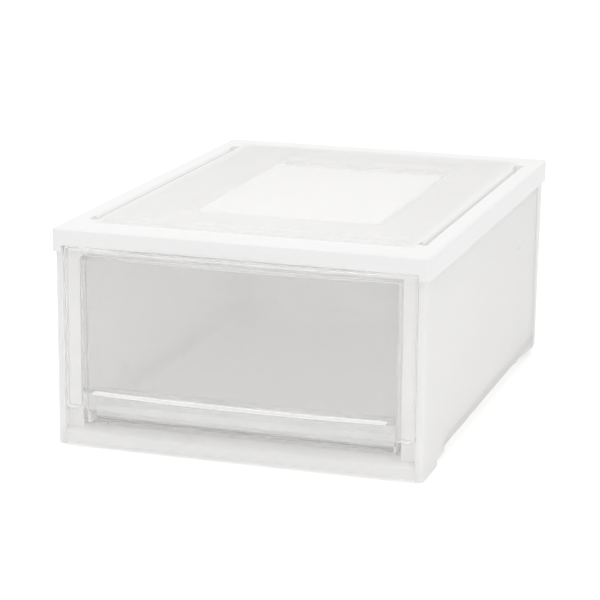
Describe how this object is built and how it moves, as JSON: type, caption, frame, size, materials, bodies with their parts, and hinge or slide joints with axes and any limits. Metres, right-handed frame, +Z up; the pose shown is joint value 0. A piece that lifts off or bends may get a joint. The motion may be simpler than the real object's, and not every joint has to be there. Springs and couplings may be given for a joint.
{
  "type": "stackable drawer box",
  "caption": "Wide white storage box with one frosted clear slide-out drawer, a sunken top and grooves for stacking",
  "frame": {"origin": "centre of the overall footprint, on the plane that the base's keels rest on", "axes": "+X to the right seen from the front, +Y to the back, +Z up; the drawer slides out along -Y"},
  "size_m": [0.4, 0.56, 0.233],
  "materials": {
    "top_cover": "smooth moulded white polypropylene",
    "left_side_panel": "smooth moulded white polypropylene",
    "right_side_panel": "smooth moulded white polypropylene",
    "back_panel": "smooth moulded white polypropylene",
    "base_panel": "smooth moulded white polypropylene",
    "front_rail": "smooth moulded white polypropylene",
    "front_header": "smooth moulded white polypropylene",
    "left_runner": "smooth moulded white polypropylene",
    "right_runner": "smooth moulded white polypropylene",
    "drawer_tub": "frosted translucent polypropylene",
    "drawer_front": "frosted translucent polypropylene"
  },
  "bodies": {
    "casing": {"top_cover": "top_cover", "left_side_panel": "left_side_panel", "right_side_panel": "right_side_panel", "back_panel": "back_panel", "base_panel": "base_panel", "front_rail": "front_rail", "front_header": "front_header", "left_runner": "left_runner", "right_runner": "right_runner"},
    "drawer": {"drawer_tub": "drawer_tub", "drawer_front": "drawer_front"}
  },
  "joints": [
    {"name": "drawer_slide", "type": "slide", "parent": "casing", "child": "drawer", "axis": [0, -1, 0], "range_m": [0, 0.37]}
  ]
}
